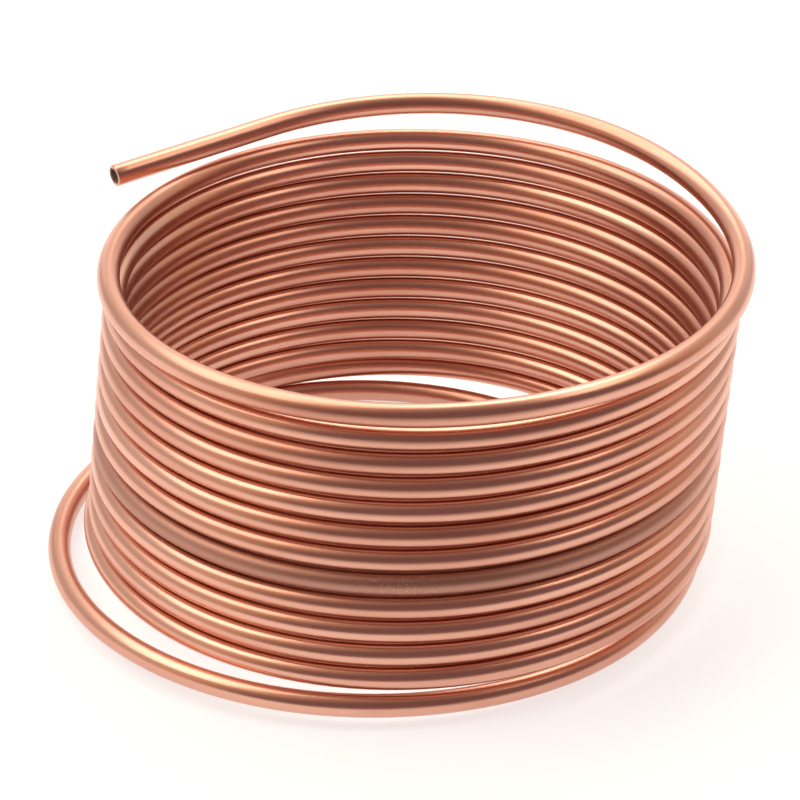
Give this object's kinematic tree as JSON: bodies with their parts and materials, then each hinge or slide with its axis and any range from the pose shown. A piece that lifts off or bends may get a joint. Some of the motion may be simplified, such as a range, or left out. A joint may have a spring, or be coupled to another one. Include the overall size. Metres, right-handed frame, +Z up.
{
  "type": "copper tube coil",
  "caption": "Coil of soft copper tube in a single layer of close turns, open in the middle, with its top end sprung free and a loose bottom turn.",
  "frame": {"origin": "middle of the footprint, on the floor that the bottom turn lies on", "axes": "+Z up along the coil, -Y the side where the bottom turn meets the stack, +X to the right seen from there"},
  "size_m": [0.1974, 0.1942, 0.0951],
  "materials": {
    "copper": "satin"
  },
  "bodies": {
    "root": {"copper_tube": "copper"}
  },
  "joints": []
}
